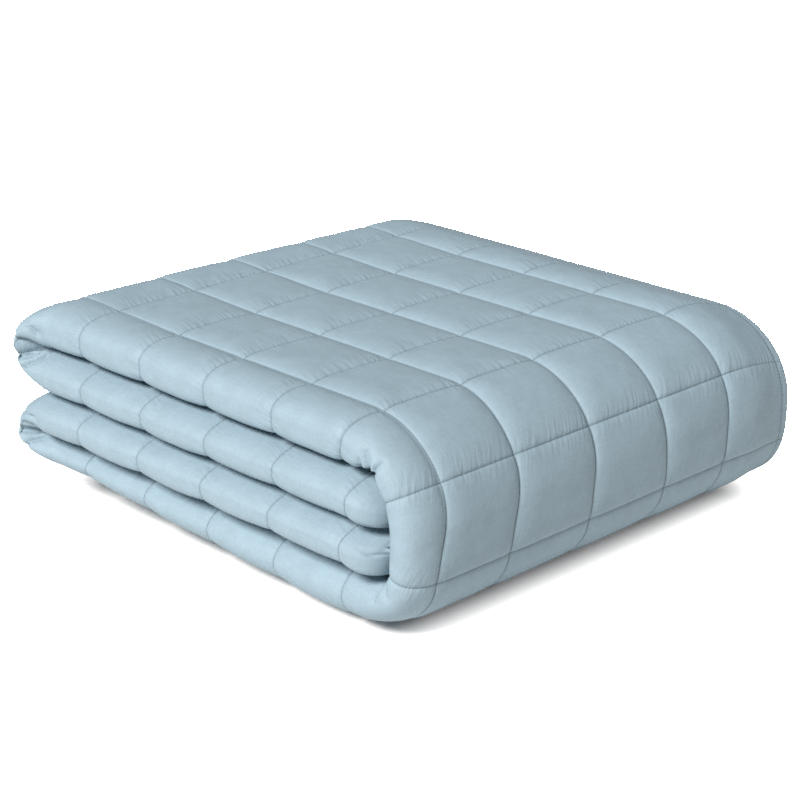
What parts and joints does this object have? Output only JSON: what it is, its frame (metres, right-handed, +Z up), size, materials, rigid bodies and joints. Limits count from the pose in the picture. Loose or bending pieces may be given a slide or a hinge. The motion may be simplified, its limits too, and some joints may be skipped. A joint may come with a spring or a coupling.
{
  "type": "quilted bedspread",
  "caption": "Folded padded bedspread with square quilting, stacked in soft rounded layers under a top that wraps round one side; lies flat on a shelf or bed.",
  "frame": {"origin": "middle of the folded bedspread's footprint, on the surface it lies on", "axes": "+Z up; +X towards the wide wrapped side, -X towards the two small bends; -Y towards the front, where the rounded rolls show, +Y towards the hemmed edges at the back"},
  "size_m": [0.6921, 0.6788, 0.246],
  "materials": {
    "quilted_bedspread": "soft satin"
  },
  "bodies": {
    "root": {"quilted_bedspread": "quilted_bedspread"}
  },
  "joints": []
}
